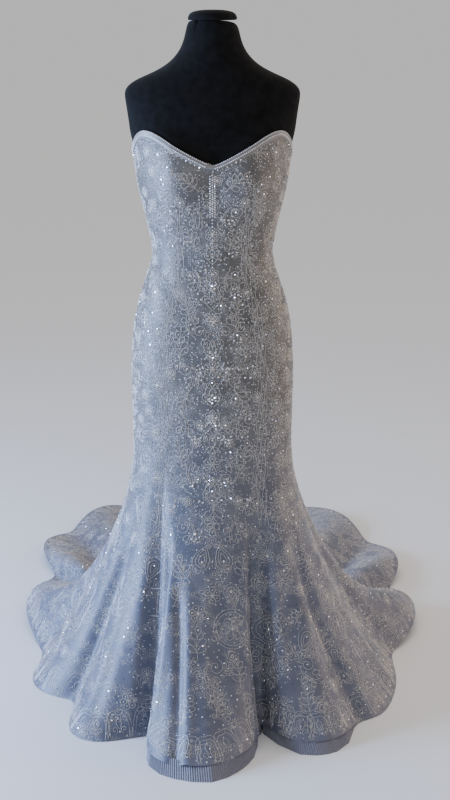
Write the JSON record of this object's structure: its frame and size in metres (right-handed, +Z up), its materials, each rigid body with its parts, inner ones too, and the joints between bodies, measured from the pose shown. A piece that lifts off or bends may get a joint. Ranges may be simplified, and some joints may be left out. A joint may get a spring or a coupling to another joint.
{
  "type": "mermaid gown on dress form",
  "caption": "Strapless mermaid gown of beaded lace with a sweetheart neckline, fluted skirt and long train, worn on a black limbless dress form on a round stand.",
  "frame": {"origin": "middle of the stand's flat underside, on the floor", "axes": "+Z up, -Y the way the gown's front faces, +Y along the train, +X to the right of someone looking at the front"},
  "size_m": [1.0709, 1.8664, 1.5849],
  "materials": {
    "lace": "silver embroidery and beads on net over satin",
    "band": "beaded binding",
    "frill": "finely pleated net",
    "form": "matte black jersey",
    "metal": "plain",
    "iron": "black, satin"
  },
  "bodies": {
    "gown_and_form": {"front_centre": "lace", "front_side_left": "lace", "front_side_right": "lace", "back_side_left": "lace", "back_side_right": "lace", "back_centre_left": "lace", "back_centre_right": "lace", "neckline_band": "band", "hem_frill_centre": "frill", "hem_frill_right": "frill", "zip_slider": "metal", "form_torso": "form", "form_neck_cap": "form", "stand_pole": "iron", "stand_base": "iron"},
    "pull": {"zip_pull": "metal"}
  },
  "joints": [
    {"name": "zip_pull_hinge", "type": "hinge", "parent": "gown_and_form", "child": "pull", "pos_m": [0, 0.11668, 1.22958], "axis": [1, 0, 0], "range_deg": [0, 150]}
  ]
}
